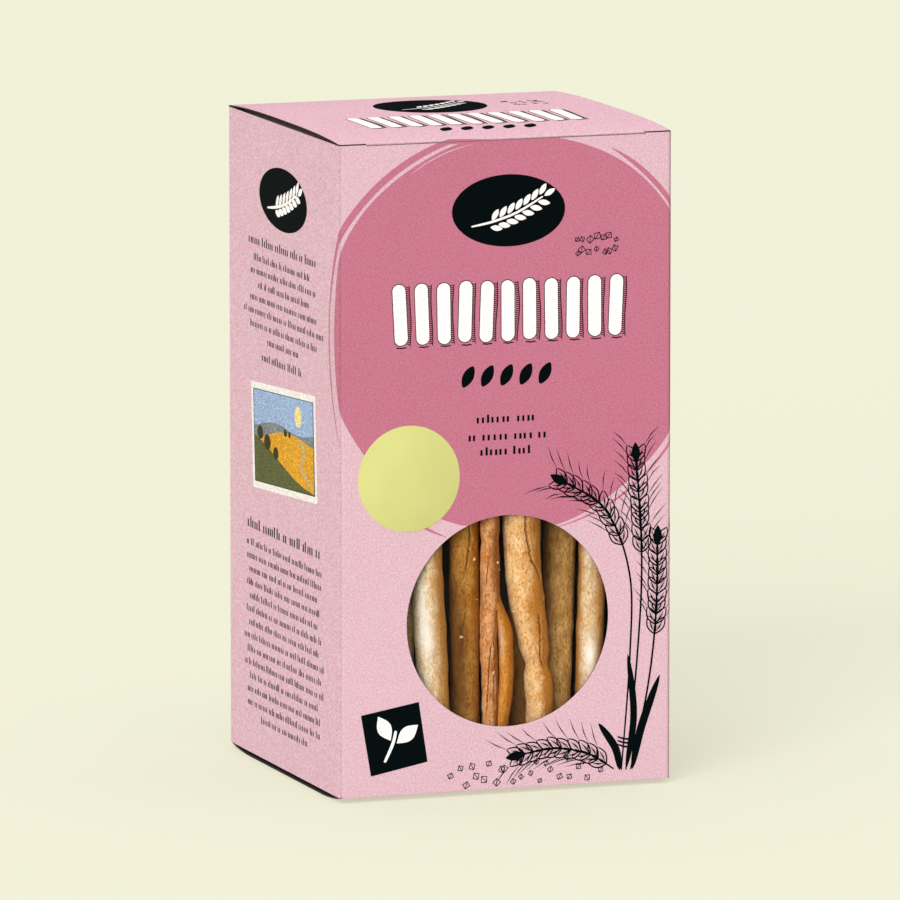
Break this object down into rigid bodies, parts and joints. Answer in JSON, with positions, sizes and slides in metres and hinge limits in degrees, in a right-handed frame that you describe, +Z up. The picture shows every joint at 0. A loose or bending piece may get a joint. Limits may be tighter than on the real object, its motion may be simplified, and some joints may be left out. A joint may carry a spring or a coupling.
{
  "type": "windowed carton of breadsticks",
  "caption": "Shut pink folding carton with a round film window in its front wall, through which upright hand-rolled breadsticks show.",
  "frame": {"origin": "middle of the base, on the surface that the carton stands on", "axes": "+Z up, the carton's height; the windowed front wall faces -Y; +X to the right seen from the front"},
  "size_m": [0.107, 0.1051, 0.2028],
  "materials": {
    "carton_board": "uncoated pink board with a fine mottle, printed with darker pink and black shapes",
    "clear_film": "thin clear glossy film",
    "sticker_paper": "plain yellow-green satin paper",
    "crust_pale": "pale floury crust",
    "crust_golden": "golden baked crust",
    "crust_brown": "brown baked crust",
    "crust_tan": "tan baked crust"
  },
  "bodies": {
    "root": {"carton": "carton_board", "window_film": "clear_film", "round_sticker": "sticker_paper", "breadstick_far_left": "crust_tan", "breadstick_pale_left": "crust_pale", "breadstick_brown": "crust_brown", "breadstick_split": "crust_brown", "breadstick_behind": "crust_tan", "breadstick_pinched": "crust_golden", "breadstick_tan": "crust_tan", "breadstick_pale_right": "crust_pale"}
  },
  "joints": []
}
